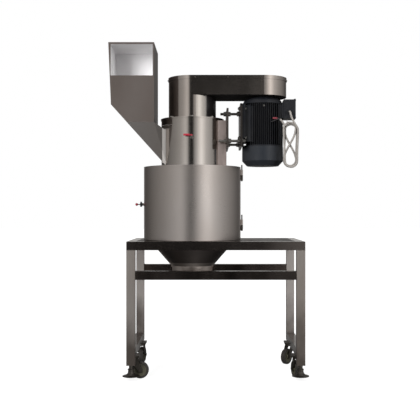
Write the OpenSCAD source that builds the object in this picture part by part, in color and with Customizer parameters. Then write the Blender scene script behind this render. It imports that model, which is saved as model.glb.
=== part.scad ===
// Vertical hammer mill on a wheeled stand, belt driven by a foot-mounted motor.
// Millimetres, +Z up. The origin is on the floor, under the centre of the machine's box.
// Heights are measured from the floor, with the machine standing on its castors.

/* [Stand] */
// Width over the legs
stand_w = 1040; // [1000:10:1100]
// Depth over the legs
stand_d = 662; // [640:2:700]
// Height of the deck
deck_z = 813; // [800:1:830]
// Side of the square tube
tube = 50; // [45:1:55]
// Wall of the square tube
tube_t = 3; // [2:0.5:5]
// Underside of the long lower rails
lower_rail_z = 591; // [560:1:620]
// Underside of the side rails that carry the castors
side_rail_z = 140; // [138:1:160]
// Lower end of the front legs
leg_end_z = 92; // [85:1:100]

/* [Castors and feet] */
// Radius of a castor wheel
wheel_r = 50; // [46:0.5:50]
// Width of a castor tyre
wheel_w = 30; // [24:1:32]
// Distance from the swivel to the axle
trail = 38; // [34:1:42]
// Radius of a levelling foot's pad
pad_r = 50; // [40:1:50]
// Height of the raised pads over the floor
pad_z = 25; // [15:1:30]

/* [Mill] */
// From the stand's centre to the mill's axis, along X
mill_dx = -144; // [-150:1:-138]
// Outer radius of the grinding drum
drum_r = 300; // [298:1:302]
// Top of the grinding drum
drum_top = 1262; // [1255:1:1262]
// Sheet thickness of the drum and the feed chamber
sheet_t = 4; // [3:0.5:5]
// Outer radius of the feed chamber
chamber_r = 192; // [190:1:194]
// Top of the feed chamber
chamber_top = 1550; // [1545:1:1552]
// Radius of the round outlet
outlet_r = 125; // [118:1:130]
// Lower end of the outlet
outlet_z = 590; // [575:1:600]

/* [Drive] */
// Centre distance of the two pulleys
drive_c = 437; // [433:1:440]
// Outer radius of the belt guard
guard_r = 147; // [145:1:148]
// Underside of the belt guard
guard_z = 1695; // [1693:1:1697]
// Top of the belt guard's lid
guard_top = 1813; // [1805:1:1820]
// Outer radius of the pulley on the motor
drive_r = 100; // [90:1:110]
// Outer radius of the pulley on the mill
driven_r = 70; // [65:1:80]
// Number of V-belts
belts = 3; // [2:1:3]

/* [Hopper] */
// Half of the hopper's depth
hopper_y = 175; // [165:1:180]
// Top of the hopper
hopper_top = 2005; // [1990:1:2020]
// Lower edge of the front window
window_z = 1805; // [1790:1:1820]
// Sheet thickness of the hopper
hopper_t = 2.5; // [2:0.5:4]

/* [Motor] */
// Height of the shaft over the motor's feet
shaft_h = 132; // [132:1:132]
// Radius over the cooling fins
fin_r = 126; // [122:1:126]
// Radius of the fan cowl
cowl_r = 127; // [124:1:127]
// Lower end of the fan cowl
cowl_z = 1270; // [1268:1:1272]

/* [Hidden] */

stainless = [0.66, 0.64, 0.62];
dark_steel = [0.45, 0.42, 0.40];
motor_grey = [0.30, 0.32, 0.35];
zinc = [0.70, 0.70, 0.68];
black = [0.08, 0.08, 0.08];
red = [0.75, 0.08, 0.12];
cord_grey = [0.74, 0.72, 0.68];

// Curves of at least this many steps are rebuilt as true curves
$fn = 64;
// Radial gap of a running fit, of a bolt in its hole, and of a part pressed in its seat
run = 0.05;
bolt_gap = 0.3;
seat_gap = 0.1;
// Overlap between solids that are joined into one
bite = 1;

// The levelling feet stand out past the front legs and the right side, and the hopper past
// the left side, so the stand's centre lies off the origin
hopper_x0 = -501;
stand_x = -(hopper_x0 + mill_dx + stand_w / 2 - tube / 2 + pad_r) / 2;
stand_y = (pad_r - tube / 2) / 2;
mill_x = stand_x + mill_dx;
leg_x = (stand_w - tube) / 2;
leg_y = (stand_d - tube) / 2;
rail_z = deck_z - tube;
deck_t = 5;

// Castors: plate stack, kingpin and swivel heads
castor_x = leg_x - 10;
castor_y = 231;
swing_fl = 0;
swing_fr = 102;
swing_rl = 80;
swing_rr = -128;
pad_plate_t = 6;
castor_plate_z = side_rail_z - pad_plate_t - 5;
yoke_top = castor_plate_z - 7.5;
yoke_t = 6;
axle_r = 5;
fork_gap = wheel_w / 2 + 4;

// Drum
inner_r = drum_r - sheet_t;
plate_r = inner_r - 1;
base_t = 8;
top_plate_t = 8;
frame_bar = 14;
hinge_x = drum_r + 8;
hinge_pin_r = 4;
knuckle_r = 7;
knuckle_h = 34;
hinge_zs = [870, 1180];
latch_z = 1032;
latch_y = -14;
latch_bay = 42;
hook_x = -285;
keeper_y = 4;

// Feed chamber and bearing column
cover_t = 8;
cover_r = chamber_r + 4;
cover_pcd_r = 172;
cover_z = chamber_top + cover_t;
tube_r = 50;
shaft_r = 20;
bearing_r = 40;

// Grinding rotor and screen
screen_r = 243;
screen_z = 860;
rotor_r = 180;
rotor_z = [905, 1042, 1180];
disc_t = 8;
pin_pcd_r = 150;
pin_r = 8;
hammer_rows = 3;
hammer_z = [925, 955, 985, 1015, 1062, 1092, 1122, 1152];

// Mount of the motor, in mill coordinates
bracket_x = 210;
plate_t = 12;
plate_hw = 160;
motor_plate_x = drive_c - shaft_h - plate_t;
rod_r = 8;
rod_spots = [[0, 1594], [-134, 1415], [134, 1415]];
foot_y = 108;
foot_zs = [1436, 1614];
bolt_r = 6;

// Motor, from its own axis
frame_z0 = 1387;
frame_z1 = 1659;
core_r = 104;
bore_r = 96;
shoulder_z = 1703;
motor_shaft_r = 19;
box_x0 = 127;
box_x1 = 190;
box_y = 60;
box_z0 = 1562;
box_z1 = 1678;
gland_x = 159;
gland_z = 1598;

// Pulleys and belts
pulley_z = 1743;
groove_pitch = 19;
groove_depth = 14;
groove_top = 16;
groove_floor = 10.4;
belt_w = 9.6;
belt_in = 12.5;
belt_out = 1;
pulley_h = belts * groove_pitch + 6;

// Cord: its radius and routes, in the part's own frame, and the outline of the tied hank
cord_r = 6;
lead_route = [[502, -79.5, 1598], [502, -97, 1597], [503, -119, 1588], [505, -136, 1570],
    [511, -144, 1548], [521, -147, 1527], [534, -147, 1507], [545, -146, 1487]];
tail_route = [[472, -117, 1478], [470, -117, 1500], [463, -117, 1519], [453, -117, 1535],
    [441, -117, 1547], [438, -117, 1549], [431, -117, 1552], [425, -117, 1554],
    [422, -117, 1554], [395, -117, 1554]];
// Radius along the tail: sheath, bare cores and the sleeve on their ends
cores_r = 3.5;
sleeve_r = 5.8;
tail_radii = [for (i = [0:9]) i < 5 ? cord_r : i < 8 ? cores_r : sleeve_r];
hank_x = 506;
hank_half_w = 48;
hank_z = [1250, 1531];
hank_y = [-153, -109];

module at_stand() translate([stand_x, stand_y, 0]) children();
module at_mill() translate([mill_x, stand_y, 0]) children();
module at_motor() translate([mill_x + drive_c, stand_y, 0]) children();
module mirrored_x() for (s = [0, 1]) mirror([s, 0, 0]) children();
module mirrored_y() for (s = [0, 1]) mirror([0, s, 0]) children();

// A ring or disc standing on z
module ring(r_out, r_in, z, h) {
    translate([0, 0, z]) difference() {
        cylinder(r = r_out, h = h);
        if (r_in > 0) translate([0, 0, -1]) cylinder(r = r_in, h = h + 2);
    }
}

// A hollow square tube along X, Y or Z from its lowest corner
module box_tube(size, along, t = tube_t) {
    open = [for (i = [0:2]) i == along ? size[i] + 2 : size[i] - 2 * t];
    from = [for (i = [0:2]) i == along ? -1 : t];
    difference() {
        cube(size);
        translate(from) cube(open);
    }
}

// Cylinders along X or Y
module x_cyl(r, x0, x1, y, z, fn = 48) {
    translate([x0, y, z]) rotate([0, 90, 0]) cylinder(r = r, h = x1 - x0, $fn = fn);
}
module y_cyl(r, y0, y1, x, z, fn = 48) {
    translate([x, y1, z]) rotate([90, 0, 0]) cylinder(r = r, h = y1 - y0, $fn = fn);
}

// ---------------------------------------------------------------- stand

module legs() color(stainless) at_stand() mirrored_x() {
    translate([leg_x - tube / 2, -stand_d / 2, leg_end_z]) leg(rail_z - leg_end_z, true);
    translate([leg_x - tube / 2, stand_d / 2 - tube, side_rail_z])
        leg(rail_z - side_rail_z, false);
}

// One leg. A front leg has a tapped end plate for its levelling foot.
module leg(h, tapped) {
    box_tube([tube, tube, h], 2);
    if (tapped) difference() {
        translate([tube_t - 0.5, tube_t - 0.5, 0]) cube([tube - 2 * tube_t + 1, tube - 2 * tube_t + 1, 10]);
        translate([tube / 2, tube / 2, -1]) cylinder(r = 12 + run, h = 12);
    }
}

module top_rails() color(dark_steel) at_stand() {
    mirrored_y() translate([-stand_w / 2, stand_d / 2 - tube, rail_z])
        box_tube([stand_w, tube, tube], 0);
    mirrored_x() translate([stand_w / 2 - tube, -stand_d / 2 + tube, rail_z])
        box_tube([tube, stand_d - 2 * tube, tube], 1);
    for (s = [-1, 1]) translate([mill_dx + s * 298 - 18, -stand_d / 2 + tube, rail_z])
        box_tube([36, stand_d - 2 * tube, tube - deck_t], 1);
}

module lower_rails() color(dark_steel) at_stand() {
    mirrored_y() translate([-stand_w / 2 + tube, stand_d / 2 - tube, lower_rail_z])
        box_tube([stand_w - 2 * tube, tube, tube], 0);
    mirrored_x() translate([stand_w / 2 - tube, -stand_d / 2 + tube, side_rail_z])
        box_tube([tube, stand_d - 2 * tube, tube], 1);
}

module deck_plate() color(dark_steel) difference() {
    at_stand() translate([-stand_w / 2 + tube, -stand_d / 2 + tube, deck_z - deck_t])
        cube([stand_w - 2 * tube, stand_d - 2 * tube, deck_t]);
    at_mill() translate([0, 0, deck_z - deck_t - 1]) cylinder(r = 275, h = deck_t + 2);
}

// ---------------------------------------------------------------- castors and feet

module at_castor(sx, sy) at_stand() translate([sx * castor_x, sy * castor_y, 0]) children();

// Welded pad plates, castor plates, ball races and kingpins
module castor_plates() color(zinc) for (sx = [-1, 1], sy = [-1, 1]) at_castor(sx, sy) {
    translate([-35, -50, side_rail_z - pad_plate_t]) cube([70, 100, pad_plate_t]);
    translate([-35, -50, castor_plate_z]) cube([70, 100, 5]);
    translate([0, 0, yoke_top + 0.5]) cylinder(r = 25, h = castor_plate_z - yoke_top - 0.5);
    translate([0, 0, yoke_top - yoke_t - 4]) cylinder(r = 6, h = yoke_t + 5);
    translate([0, 0, yoke_top - yoke_t - 5]) cylinder(r = 10, h = 4.5);
}

// Yoke with its two arms, and the axle bolt
module castor_fork(swing) color(zinc) rotate([0, 0, swing]) {
    difference() {
        union() {
            translate([0, 0, yoke_top - yoke_t]) cylinder(r = 27, h = yoke_t);
            translate([-16, -fork_gap - 4, yoke_top - yoke_t]) cube([38, 2 * fork_gap + 8, yoke_t]);
            mirrored_y() translate([0, fork_gap + 4, 0]) rotate([90, 0, 0])
                linear_extrude(4) difference() {
                    union() {
                        polygon([[-16, yoke_top], [22, yoke_top], [trail + 13, wheel_r],
                            [trail - 13, wheel_r], [-16, yoke_top - 18]]);
                        translate([trail, wheel_r]) circle(r = 13);
                    }
                    translate([trail, wheel_r]) circle(r = axle_r + seat_gap);
                }
        }
        translate([0, 0, yoke_top - yoke_t - 1]) cylinder(r = 6 + run, h = yoke_t + 2);
    }
    y_cyl(axle_r, -fork_gap - 4, fork_gap + 4, trail, wheel_r);
    y_cyl(9, fork_gap + 4, fork_gap + 9, trail, wheel_r, 6);
    y_cyl(9, -fork_gap - 9, -fork_gap - 4, trail, wheel_r, 6);
}

// Tyre and hub
module castor_wheel(swing) color(black) rotate([0, 0, swing]) translate([trail, 0, wheel_r])
    rotate([90, 0, 0]) {
        rotate_extrude() polygon([[36, -12], [40, -wheel_w / 2], [46, -wheel_w / 2],
            [wheel_r, -wheel_w / 2 + 5], [wheel_r, wheel_w / 2 - 5], [46, wheel_w / 2],
            [40, wheel_w / 2], [36, 12]]);
        rotate_extrude() polygon([[axle_r + run, -18], [14, -18], [15, -9], [30, -9], [31, -12],
            [36 - seat_gap, -12], [36 - seat_gap, 12], [31, 12], [30, 9], [15, 9], [14, 18],
            [axle_r + run, 18]]);
    }

module castor_fork_fl() at_castor(-1, -1) castor_fork(swing_fl);
module castor_fork_fr() at_castor(1, -1) castor_fork(swing_fr);
module castor_fork_rl() at_castor(-1, 1) castor_fork(swing_rl);
module castor_fork_rr() at_castor(1, 1) castor_fork(swing_rr);
module castor_wheel_fl() at_castor(-1, -1) castor_wheel(swing_fl);
module castor_wheel_fr() at_castor(1, -1) castor_wheel(swing_fr);
module castor_wheel_rl() at_castor(-1, 1) castor_wheel(swing_rl);
module castor_wheel_rr() at_castor(1, 1) castor_wheel(swing_rr);

// Screw with a thick lower stem and a flared pad
module levelling_foot() color(zinc) rotate_extrude() polygon([[0, pad_z], [pad_r - 6, pad_z],
    [pad_r, pad_z + 2], [pad_r, pad_z + 5], [30, pad_z + 11], [20, pad_z + 19], [17, pad_z + 30],
    [17, leg_end_z - 26], [20, leg_end_z - 25], [20, leg_end_z - 22.5], [12, leg_end_z - 22],
    [12, leg_end_z + 55], [0, leg_end_z + 55]]);
module foot_left() at_stand() translate([-leg_x, -leg_y, 0]) levelling_foot();
module foot_right() at_stand() translate([leg_x, -leg_y, 0]) levelling_foot();

// ---------------------------------------------------------------- drum

// Base ring, cone and round outlet, welded together
module discharge_cone() color(dark_steel) at_mill() rotate_extrude() polygon([
    [plate_r, deck_z + base_t], [plate_r, deck_z], [270, deck_z], [outlet_r + 6, 654],
    [outlet_r + 6, 647], [outlet_r, 647], [outlet_r, outlet_z], [outlet_r - 3, outlet_z],
    [outlet_r - 3, 653],
    [266, deck_z + 1], [266, deck_z + base_t]]);

module drum_top_plate() color(stainless) at_mill()
    ring(plate_r, chamber_r - 6, drum_top - top_plate_t, top_plate_t);

// Half of the drum's wall, from angle a0 over span degrees
module half_wall(a0, span, z0, z1) {
    rotate([0, 0, a0]) rotate_extrude(angle = span, $fn = 128)
        translate([inner_r, z0]) square([sheet_t, z1 - z0]);
}

// Upright bars along the edges of a half shell, left open at the latch
module edge_bars(y0, y1, z0, z1) {
    translate([inner_r - frame_bar, y0, z0]) cube([frame_bar + bite, y1 - y0, z1 - z0]);
    for (z = [[z0, latch_z - latch_bay], [latch_z + latch_bay, z1]])
        translate([-inner_r - bite, y0, z[0]]) cube([frame_bar + bite, y1 - y0, z[1] - z[0]]);
}

module drum_rear_shell() color(stainless) at_mill() {
    half_wall(0, 180, deck_z, drum_top);
    edge_bars(0, 9, deck_z + base_t, drum_top - top_plate_t);
    x_cyl(3, -inner_r - bite, hook_x + 6, keeper_y, latch_z);
}

module drum_door() color(stainless) at_mill() difference() {
    union() {
        half_wall(180.15, 179.7, deck_z + 2.5, drum_top);
        edge_bars(-10, -1.5, deck_z + base_t + 3, drum_top - top_plate_t - 3);
        x_cyl(8, -drum_r - 9, -inner_r + bite, latch_y, latch_z);
        for (z = hinge_zs) {
            translate([hinge_x, 0, z + knuckle_h + 0.5]) cylinder(r = knuckle_r, h = knuckle_h);
            translate([inner_r + 1, -6.5, z + knuckle_h + 0.5])
                cube([hinge_x - inner_r, 5, knuckle_h]);
        }
    }
    x_cyl(3 + run, -drum_r - 10, -inner_r + 3, latch_y, latch_z);
    for (z = hinge_zs) translate([hinge_x, 0, z + knuckle_h])
        cylinder(r = hinge_pin_r + run, h = knuckle_h + 1);
}

// Fixed knuckles with their leaves on the rear shell, and the long lift-out pins
module door_hinges() color(zinc) at_mill() for (z = hinge_zs) {
    difference() {
        union() {
            translate([hinge_x, 0, z]) cylinder(r = knuckle_r, h = knuckle_h);
            translate([drum_r + 0.2, 1.5, z]) cube([hinge_x - drum_r, 5, knuckle_h]);
        }
        translate([hinge_x, 0, z - 1]) cylinder(r = hinge_pin_r + seat_gap, h = knuckle_h + 2);
    }
    translate([hinge_x, 0, z - 4]) cylinder(r = hinge_pin_r, h = 2 * knuckle_h + 34);
}

// Spindle through the door with a hook inside that turns behind the keeper pin
module latch_spindle() color(zinc) at_mill() {
    x_cyl(3, -drum_r - 41, hook_x + 3, latch_y, latch_z);
    translate([hook_x, latch_y, latch_z]) rotate([90, 0, 90]) linear_extrude(5) {
        circle(r = 8);
        rotate(-90) hook_outline();
    }
}

// Arm and curved band of the hook, which reaches along +X when it is locked
module hook_outline() {
    rotate(-48) translate([0, -4]) square([25, 8]);
    intersection() {
        difference() {
            circle(r = 28);
            circle(r = 22);
        }
        polygon([[0, 0], [40 * cos(52), -40 * sin(52)], [45, -20], [45, 12], [40, 16]]);
    }
}

module latch_star_knob() color(black) at_mill() difference() {
    union() {
        x_cyl(10, -drum_r - 24, -drum_r - 10, latch_y, latch_z);
        for (a = [0:72:288]) x_cyl(5, -drum_r - 22, -drum_r - 13,
            latch_y + 12.5 * sin(a), latch_z + 12.5 * cos(a), 24);
    }
    x_cyl(3 + seat_gap, -drum_r - 25, -drum_r - 9, latch_y, latch_z);
}

module latch_ball() color(red) at_mill() difference() {
    translate([-drum_r - 45, latch_y, latch_z]) sphere(r = 8.5);
    x_cyl(3 + seat_gap, -drum_r - 41.2, -drum_r - 30, latch_y, latch_z);
}

// Perforated sieve hung from the top plate, with a closed floor
module screen_basket() color(stainless) at_mill() difference() {
    union() {
        ring(screen_r, screen_r - 3, screen_z, drum_top - top_plate_t - screen_z);
        ring(screen_r - 2, 0, screen_z, 4);
        ring(screen_r + 10, screen_r - 2, drum_top - top_plate_t - 6, 6);
    }
    for (a = [0:15:345], z = [890, 995, 1100]) rotate([0, 0, a])
        translate([screen_r - 8, -9, z]) cube([16, 18, 88]);
}

// ---------------------------------------------------------------- feed chamber and rotor

module feed_chamber() color(stainless) at_mill() difference() {
    union() {
        ring(chamber_r, chamber_r - sheet_t, drum_top, chamber_top - drum_top);
        ring(chamber_r - 1, 160, chamber_top - 10, 10);
    }
    translate([-chamber_r - 20, -96, 1312]) cube([100, 192, 176]);
    bolt_circle() cylinder(r = bolt_r + bolt_gap, h = 30, center = true);
    y_cyl(6 + seat_gap, -chamber_r - 10, -chamber_r + 30, 0, 1430);
}

// The eight places on the cover's bolt circle
module bolt_circle() for (a = [0:45:315]) rotate([0, 0, a])
    translate([cover_pcd_r, 0, chamber_top]) children();

module chamber_cover() color(stainless) at_mill() difference() {
    ring(cover_r, tube_r + seat_gap, chamber_top, cover_t);
    bolt_circle() cylinder(r = bolt_r + bolt_gap, h = 30, center = true);
}

// A hex bolt with its head on z = 0 and its nut on z = -grip
module bolt(grip) {
    cylinder(r = bolt_r * 1.83, h = 8, $fn = 6);
    translate([0, 0, -grip - 14]) cylinder(r = bolt_r, h = grip + 14 + bite);
}
module nut() difference() {
    translate([0, 0, -10]) cylinder(r = bolt_r * 1.83, h = 10, $fn = 6);
    translate([0, 0, -11]) cylinder(r = bolt_r + seat_gap, h = 12);
}

// Bolts of the chamber cover and of the motor's feet
module hex_bolts() color(zinc) at_mill() {
    bolt_circle() translate([0, 0, cover_t]) {
        bolt(18);
        translate([0, 0, -18]) nut();
    }
    for (s = [-1, 1], z = foot_zs) translate([drive_c - shaft_h + 18, s * foot_y, z])
        rotate([0, 90, 0]) {
            bolt(30);
            translate([0, 0, -30]) nut();
        }
}

// Flanged tube that hangs from the cover and holds the mill's two bearings
module bearing_tube() color(dark_steel) at_mill() rotate_extrude() polygon([
    [bearing_r, 1295], [bearing_r, 1688], [tube_r, 1688], [tube_r, cover_z + 14],
    [100, cover_z + 12], [100, cover_z], [tube_r, cover_z], [tube_r, 1285], [24, 1285],
    [24, 1291], [bearing_r - 2, 1291], [bearing_r - 2, 1295]]);

// Rolling bearings as plain rings: two in the mill's tube, two in the motor's shields
module bearings() color(zinc) {
    at_mill() for (z = [1296, 1660])
        ring(bearing_r - seat_gap, shaft_r + run, z, 23);
    at_motor() for (z = [frame_z0 + 4, 1667])
        ring(bearing_r - seat_gap, shaft_r + run, z, 18);
}

module mill_shaft() color(zinc) at_mill() rotate_extrude() polygon([[0, 894], [18, 894],
    [shaft_r, 897], [shaft_r, 1786], [18, 1789], [0, 1789]]);

// Three discs on a hub, with the hammer pins and their collars
module rotor_body() color(dark_steel) at_mill() {
    difference() {
        union() {
            for (z = rotor_z) ring(rotor_r, shaft_r + run, z, disc_t);
            ring(34, shaft_r + run, rotor_z[0] - 3, rotor_z[2] - rotor_z[0] + disc_t + 6);
        }
        at_pins() translate([0, 0, 800]) cylinder(r = pin_r + seat_gap, h = 500);
    }
    at_pins() {
        translate([0, 0, rotor_z[0] - 2]) cylinder(r = pin_r, h = rotor_z[2] - rotor_z[0] + disc_t + 4);
        translate([0, 0, rotor_z[0] - 6.2]) cylinder(r = pin_r + 5, h = 6);
        translate([0, 0, rotor_z[2] + disc_t + 0.2]) cylinder(r = pin_r + 5, h = 6);
    }
}
module at_pins() for (i = [0:hammer_rows - 1]) rotate([0, 0, i * 360 / hammer_rows + 30])
    translate([pin_pcd_r, 0, 0]) children();

// One row of swinging hammers with the spacers between them
module hammer_row(i) color(zinc) at_mill() rotate([0, 0, i * 360 / hammer_rows + 30])
    translate([pin_pcd_r, 0, 0]) for (z = hammer_z) difference() {
        union() {
            translate([0, 0, z]) cylinder(r = 20, h = 6);
            translate([0, -20, z]) cube([82, 40, 6]);
            translate([0, 0, z]) cylinder(r = 14, h = 18);
        }
        translate([0, 0, z - 1]) cylinder(r = pin_r + run, h = 21);
    }
module hammers_a() hammer_row(0);
module hammers_b() hammer_row(1);
module hammers_c() hammer_row(2);

// Quarter-turn rinsing valve on the front of the chamber
module valve_body() color(zinc) at_mill() {
    y_cyl(6, -chamber_r - 14, -chamber_r + 10, 0, 1430);
    y_cyl(10, -chamber_r - 36, -chamber_r - 13, 0, 1430, 6);
    y_cyl(7, -chamber_r - 44, -chamber_r - 35, 0, 1430);
    translate([0, -chamber_r - 24, 1434]) cylinder(r = 3, h = 14);
}
module valve_lever() color(red) at_mill() translate([0, -chamber_r - 24, 1440]) difference() {
    union() {
        cylinder(r = 7, h = 7);
        translate([-14, -4.5, 1]) cube([14, 9, 4]);
        translate([-44, -4.5, 0]) cube([31, 9, 11]);
        translate([-44, 0, 0]) cylinder(r = 4.5, h = 11);
    }
    translate([0, 0, -1]) cylinder(r = 3 + run, h = 10);
}

// ---------------------------------------------------------------- neck, guard and hopper

// The round wall under the guard, kept on one side of the seam
seam_x = 24;
module neck_wall(z1, from_x, to_x) intersection() {
    ring(guard_r, guard_r - 2.5, cover_z + 0.2, z1 - cover_z - 0.2);
    translate([from_x, -guard_r - 1, cover_z - 1]) cube([to_x - from_x, 2 * guard_r + 2, 200]);
}
module neck_cover() color(stainless) at_mill() neck_wall(guard_z - 0.5, seam_x + 0.5, guard_r + 1);

module stadium(r) {
    circle(r = r);
    translate([drive_c, 0]) circle(r = r);
    translate([0, -r]) square([drive_c, 2 * r]);
}

// Belt guard tray with its left skirt, open over the bearing tube and the motor's nose
module guard_body() color(stainless) at_mill() difference() {
    union() {
        translate([0, 0, guard_z]) linear_extrude(guard_top - 3.5 - guard_z) difference() {
            stadium(guard_r);
            stadium(guard_r - 2.5);
        }
        translate([0, 0, guard_z]) linear_extrude(3) difference() {
            stadium(guard_r - 1);
            circle(r = 70);
            translate([drive_c, 0]) circle(r = 62);
        }
        neck_wall(guard_z + 1, -guard_r - 1, seam_x);
    }
    guard_screw_spots() cylinder(r = 3 + bolt_gap, h = 30, center = true);
}

module guard_lid() color(stainless) at_mill() difference() {
    translate([0, 0, guard_top - 23]) linear_extrude(23) stadium(guard_r + 2.3);
    translate([0, 0, guard_top - 24]) linear_extrude(21.5) stadium(guard_r + 0.3);
    guard_screw_spots() cylinder(r = 3 + bolt_gap, h = 30, center = true);
}

// Places on the lid's rim, each with +Z pointing outward
module guard_screw_spots() {
    for (x = [20, drive_c / 2, drive_c - 20], s = [-1, 1])
        translate([x, s * (guard_r + 2.3), guard_top - 12]) rotate([-90 * s, 0, 0]) children();
    for (s = [-1, 1]) translate([s < 0 ? -guard_r - 2.3 : drive_c + guard_r + 2.3, 0, guard_top - 12])
        rotate([0, 90 * s, 0]) children();
}
module guard_screws() color(zinc) at_mill() guard_screw_spots() {
    translate([0, 0, 0.3]) cylinder(r = 5.5, h = 3);
    translate([0, 0, -12]) cylinder(r = 3, h = 13);
}

// Outline of the hopper seen from the front, inset by t all round, and its depth
hopper_x1 = -226;
bend_z = 1526;
slope = 1.1126;
bend_x = -390.6;
module hopper_outline(t) {
    low_z = t > 0 ? bend_z - 2 : bend_z;
    polygon([[hopper_x0 + t, hopper_top - t], [hopper_x1 - t, hopper_top - t], [hopper_x1 - t, low_z],
        [bend_x + 1.4 * t, low_z], [hopper_x0 + 16 + t, 1631 + 0.4 * t]]);
}

module hopper() color(dark_steel) at_mill() difference() {
    translate([0, hopper_y, 0]) rotate([90, 0, 0]) linear_extrude(2 * hopper_y) hopper_outline(0);
    translate([0, hopper_y - hopper_t, 0]) rotate([90, 0, 0])
        linear_extrude(2 * (hopper_y - hopper_t)) hopper_outline(hopper_t);
    translate([hopper_x0 + 14, -hopper_y - 1, window_z])
        cube([hopper_x1 - hopper_x0 - 22, 10, hopper_top - 12 - window_z]);
}

// Sloping chute: the solid between the hopper's bend line and the chamber's side, inset by t
chute_hy = 100;
chute_x1 = -150;
chute_low = 1526 - slope * (chute_x1 - bend_x);
chute_high = 1476;
module chute_solid(t, over) hull() {
    translate([bend_x + 1.4 * t, -hopper_y + t, bend_z - 0.5])
        cube([hopper_x1 - bend_x - 2.4 * t, 2 * (hopper_y - t), 0.5 + over]);
    translate([chute_x1, -chute_hy + t, chute_low + 1.5 * t])
        cube([0.5 + over, 2 * (chute_hy - t), chute_high - chute_low - 3 * t]);
}
module chute() color(dark_steel) at_mill() difference() {
    union() {
        chute_solid(0, 0);
        translate([-180, -chute_hy - 7, 1285]) cube([20, 2 * chute_hy + 14, 205]);
    }
    chute_solid(hopper_t, 2);
    ring(chamber_r + 0.3, 0, 1200, 400);
}

// ---------------------------------------------------------------- motor mount

// Box welded to the chamber, with the plate that holds the tension rods
module motor_bracket() color(stainless) at_mill() difference() {
    translate([130, -109, drum_top]) difference() {
        cube([bracket_x - 130, 218, 281]);
        translate([-1, 5, 5]) cube([bracket_x - 134, 208, 271]);
    }
    ring(chamber_r + 0.3, 0, 1200, 400);
    rod_holes();
}
module fixed_plate() translate([bracket_x, -plate_hw, 1372]) cube([plate_t, 2 * plate_hw, 240]);
module rod_holes() for (p = rod_spots)
    x_cyl(rod_r + bolt_gap, bracket_x - 40, motor_plate_x + 40, p[0], p[1]);

module mount_weldment() color(stainless) {
    motor_bracket();
    at_mill() difference() {
        fixed_plate();
        rod_holes();
    }
}

module tension_rods() color(zinc) at_mill() for (p = rod_spots) {
    x_cyl(rod_r, p[0] == 0 ? 174 : 162, motor_plate_x + plate_t + 20, p[0], p[1]);
    for (x = [bracket_x - 16, motor_plate_x - 16]) nut_and_washer(x, p, 3);
    for (x = [bracket_x + plate_t, motor_plate_x + plate_t]) nut_and_washer(x, p, 0);
}
// A nut with its washer on the left or the right side, both bored for the rod
module nut_and_washer(x, p, nut_first) difference() {
    union() {
        x_cyl(14, nut_first > 0 ? x : x + 3, nut_first > 0 ? x + 13 : x + 16, p[0], p[1], 6);
        x_cyl(17, nut_first > 0 ? x + 13 : x, nut_first > 0 ? x + 16 : x + 3, p[0], p[1]);
    }
    x_cyl(rod_r + seat_gap, x - 1, x + 17, p[0], p[1]);
}

module motor_plate() color(dark_steel) at_mill() difference() {
    translate([motor_plate_x, 0, 0]) rotate([90, 0, 90]) linear_extrude(plate_t) polygon([
        [-plate_hw, 1380], [plate_hw, 1380], [plate_hw, 1625], [plate_hw - 20, 1643],
        [-plate_hw + 20, 1643], [-plate_hw, 1625]]);
    rod_holes();
    for (s = [-1, 1], z = foot_zs)
        x_cyl(bolt_r + bolt_gap, motor_plate_x - 1, motor_plate_x + plate_t + 1, s * foot_y, z);
}

// ---------------------------------------------------------------- motor

// Finned housing with its feet and the raised seat of the terminal box
module motor_frame() color(motor_grey) at_motor() difference() {
    union() {
        ring(core_r, bore_r, frame_z0, frame_z1 - frame_z0);
        intersection() {
            ring(fin_r, core_r - 2, frame_z0 + 6, frame_z1 - frame_z0 - 12);
            union() {
                for (x = [-78:12:90]) translate([x - 1.5, -fin_r, frame_z0]) cube([3, 2 * fin_r, 300]);
                for (y = [-66:12:66]) translate([60, y - 1.5, frame_z0]) cube([fin_r, 3, 300]);
            }
        }
        ring(fin_r, bore_r, frame_z0, 8);
        ring(fin_r, bore_r, frame_z1 - 8, 8);
        translate([90, -54, box_z0 + 3]) cube([box_x0 - 90, 108, frame_z1 - box_z0 - 3]);
        mirrored_y() {
            translate([-shaft_h, foot_y - 26, 1412]) cube([18, 52, 226]);
            translate([-shaft_h + 6, foot_y - 26, 1416]) cube([70, 12, 218]);
        }
    }
    translate([0, 0, frame_z0 - 1]) cylinder(r = bore_r, h = frame_z1 - frame_z0 + 2);
    translate([80, -20, 1600]) cube([60, 40, 40]);
    for (s = [-1, 1], z = foot_zs)
        x_cyl(bolt_r + bolt_gap, -shaft_h - 1, -shaft_h + 19, s * foot_y, z);
    for (p = rod_spots) x_cyl(18.5, -shaft_h - 1, -shaft_h + 19, p[0], p[1]);
}

// Drive-end and fan-end shields with their bearing seats
module motor_end_shields() color(motor_grey) at_motor() {
    rotate_extrude() polygon([[motor_shaft_r + 1, shoulder_z - 1], [46, shoulder_z - 1],
        [48, 1694], [88, 1692], [112, 1676], [118, 1670], [118, frame_z1], [bore_r + 8, frame_z1],
        [bearing_r + 12, 1664], [bearing_r, 1664], [bearing_r, 1686], [motor_shaft_r + 1, 1686]]);
    rotate_extrude() polygon([[bearing_r, frame_z0 + 2], [bearing_r, frame_z0 + 24],
        [bearing_r + 8, frame_z0 + 24], [bearing_r + 12, frame_z0 + 8], [bore_r - 0.2, frame_z0 + 8],
        [bore_r - 0.2, frame_z0], [shaft_r + 2, frame_z0 - 3], [shaft_r + 2, frame_z0 + 2]]);
}

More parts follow.
